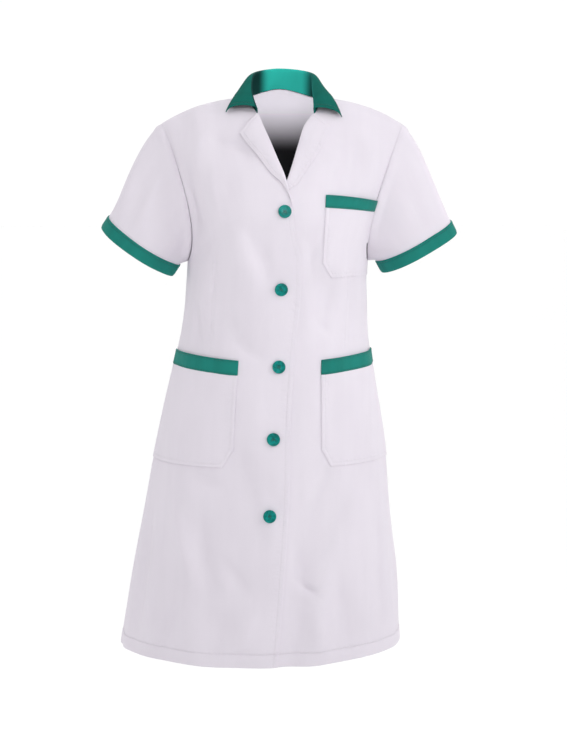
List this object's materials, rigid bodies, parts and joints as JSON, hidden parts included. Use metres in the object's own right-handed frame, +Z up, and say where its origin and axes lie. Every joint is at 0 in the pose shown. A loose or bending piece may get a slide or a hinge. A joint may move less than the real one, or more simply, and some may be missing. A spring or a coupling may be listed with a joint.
{
  "type": "work tunic",
  "caption": "Short-sleeved, knee-length work tunic with notched collar, buttoned front, patch pockets with contrast bands and banded cuffs.",
  "frame": {"origin": "midway between the neck ends of the two shoulder seams, where the wearer's shoulders carry the cloth", "axes": "+Z up along the wearer's back, -Y the way the buttoned front faces, +X to the wearer's left"},
  "size_m": [0.5648, 0.3321, 0.9269],
  "materials": {
    "white_cloth": "matt white polyester and cotton twill",
    "green_cloth": "matt green polyester and cotton twill",
    "green_plastic": "satin green plastic"
  },
  "bodies": {
    "root": {"back": "white_cloth", "front_right": "white_cloth", "front_left": "white_cloth", "lapel_right": "white_cloth", "lapel_left": "white_cloth", "collar": "green_cloth", "sleeve_right": "white_cloth", "sleeve_left": "white_cloth", "cuff_right": "green_cloth", "cuff_left": "green_cloth", "pocket_chest": "white_cloth", "pocket_chest_band": "green_cloth", "pocket_hip_right": "white_cloth", "pocket_hip_right_band": "green_cloth", "pocket_hip_left": "white_cloth", "pocket_hip_left_band": "green_cloth", "button_1": "green_plastic", "button_2": "green_plastic", "button_3": "green_plastic", "button_4": "green_plastic", "button_5": "green_plastic"}
  },
  "joints": []
}
